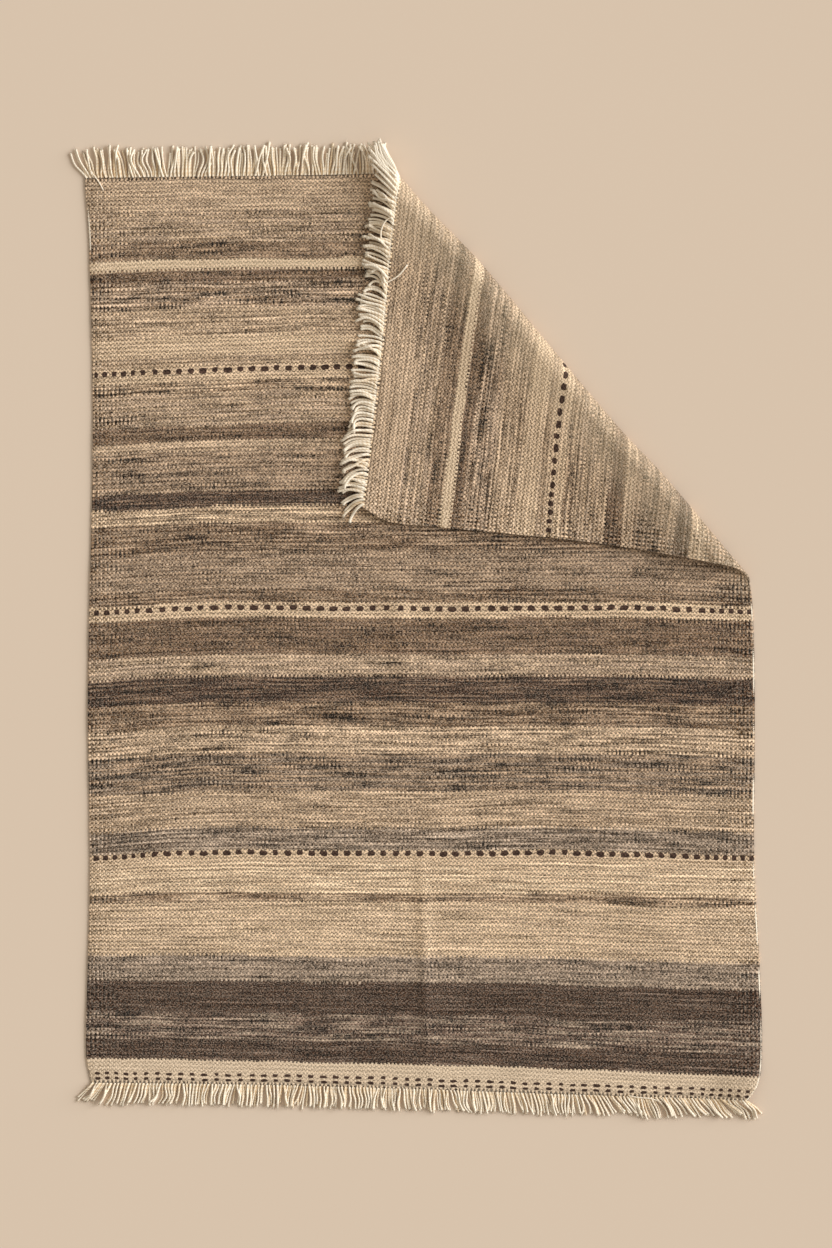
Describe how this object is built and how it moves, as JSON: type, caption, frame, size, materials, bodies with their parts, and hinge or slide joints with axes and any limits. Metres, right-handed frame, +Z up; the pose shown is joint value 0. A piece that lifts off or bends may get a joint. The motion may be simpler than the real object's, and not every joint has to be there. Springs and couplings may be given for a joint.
{
  "type": "kilim rug",
  "caption": "Striped flat-woven rug lying flat with one corner folded over onto itself and a short loose fringe at both ends.",
  "frame": {"origin": "middle of the bounding box in plan, at floor level, where the underside rests", "axes": "+Z up, +Y along the rug towards the end with the folded corner, +X across it towards the folded corner's side"},
  "size_m": [1.2434, 1.7766, 0.0342],
  "materials": {
    "woven_wool": "matte flat weave in bands of charcoal, taupe, sand and cream",
    "fringe_cotton": "matte twisted ivory warp yarn"
  },
  "bodies": {
    "root": {"cloth": "woven_wool", "fringe_top": "fringe_cotton", "fringe_folded": "fringe_cotton", "fringe_bottom": "fringe_cotton"}
  },
  "joints": []
}
